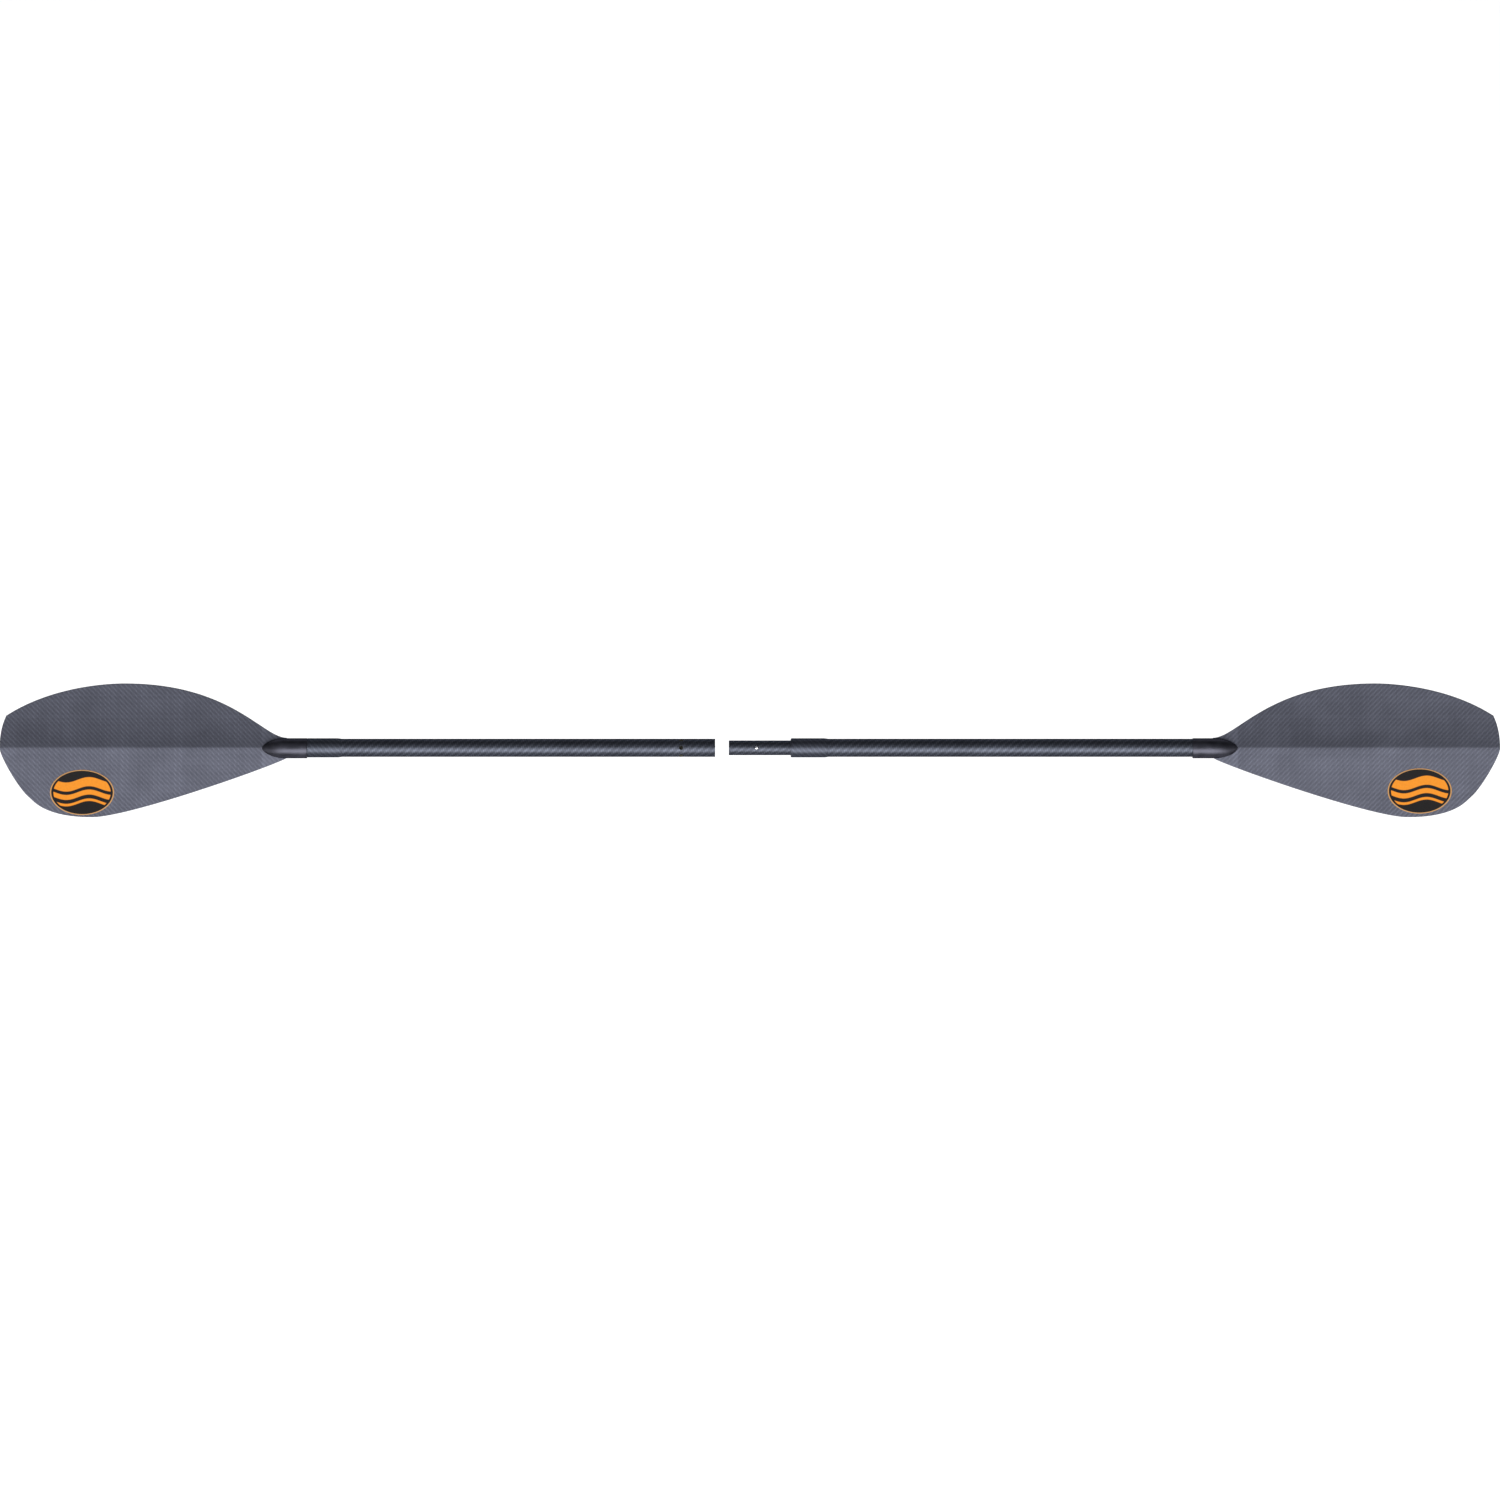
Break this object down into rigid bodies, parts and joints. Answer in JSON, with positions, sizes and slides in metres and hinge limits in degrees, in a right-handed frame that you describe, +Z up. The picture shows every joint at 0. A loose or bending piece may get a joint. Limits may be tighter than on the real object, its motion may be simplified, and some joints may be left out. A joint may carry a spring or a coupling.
{
  "type": "kayak paddle",
  "caption": "Take-apart kayak paddle with asymmetric carbon blades, laid flat with its halves apart: socket on one, spigot with snap button on the other.",
  "frame": {"origin": "middle of the paddle's box at rest, on the surface that the long edges of both blades rest on", "axes": "+X along the shaft, towards the half with the spigot; +Y towards the narrower edge of each blade; +Z up, the way both power faces and the snap button look"},
  "size_m": [2.4222, 0.2164, 0.0376],
  "materials": {
    "blade_carbon": "satin",
    "shaft_carbon": "satin",
    "neck_resin": "satin",
    "wrap_carbon": "satin",
    "glass_liner": "satin",
    "closed_cell_foam": "matte",
    "plug_rubber": "matte",
    "decal_vinyl": "satin",
    "button_steel": "polished"
  },
  "bodies": {
    "left_half": {"left_shaft_tube": "shaft_carbon", "socket_liner": "glass_liner", "left_shaft_bulkhead": "closed_cell_foam", "left_shaft_end_plug": "closed_cell_foam", "left_neck_wrap": "wrap_carbon", "left_blade_neck": "neck_resin", "left_blade_face_skin": "blade_carbon", "left_blade_back_skin": "blade_carbon", "left_blade_core": "closed_cell_foam", "left_blade_decal": "decal_vinyl"},
    "spigot_end": {"spigot_plug": "plug_rubber"},
    "right_half": {"right_shaft_tube": "shaft_carbon", "spigot": "shaft_carbon", "right_shaft_bulkhead": "closed_cell_foam", "right_shaft_end_plug": "closed_cell_foam", "shoulder_wrap": "wrap_carbon", "right_blade_neck": "neck_resin", "right_blade_face_skin": "blade_carbon", "right_blade_back_skin": "blade_carbon", "right_blade_core": "closed_cell_foam", "right_blade_decal": "decal_vinyl"},
    "button": {"snap_button": "button_steel"}
  },
  "joints": [
    {"name": "ferrule_slide", "type": "slide", "parent": "left_half", "child": "spigot_end", "axis": [-1, 0, 0], "range_m": [0, 0.1217]},
    {"name": "feather_turn", "type": "hinge", "parent": "spigot_end", "child": "right_half", "pos_m": [-0.0245, 0.004, 0.02127], "axis": [1, 0, 0], "range_deg": [-60, 60]},
    {"name": "button_press", "type": "slide", "parent": "right_half", "child": "button", "axis": [0, 0, -1], "range_m": [0, 0.0034], "stiffness_N_per_m": 1500, "deforming": ["snap_button"]}
  ]
}
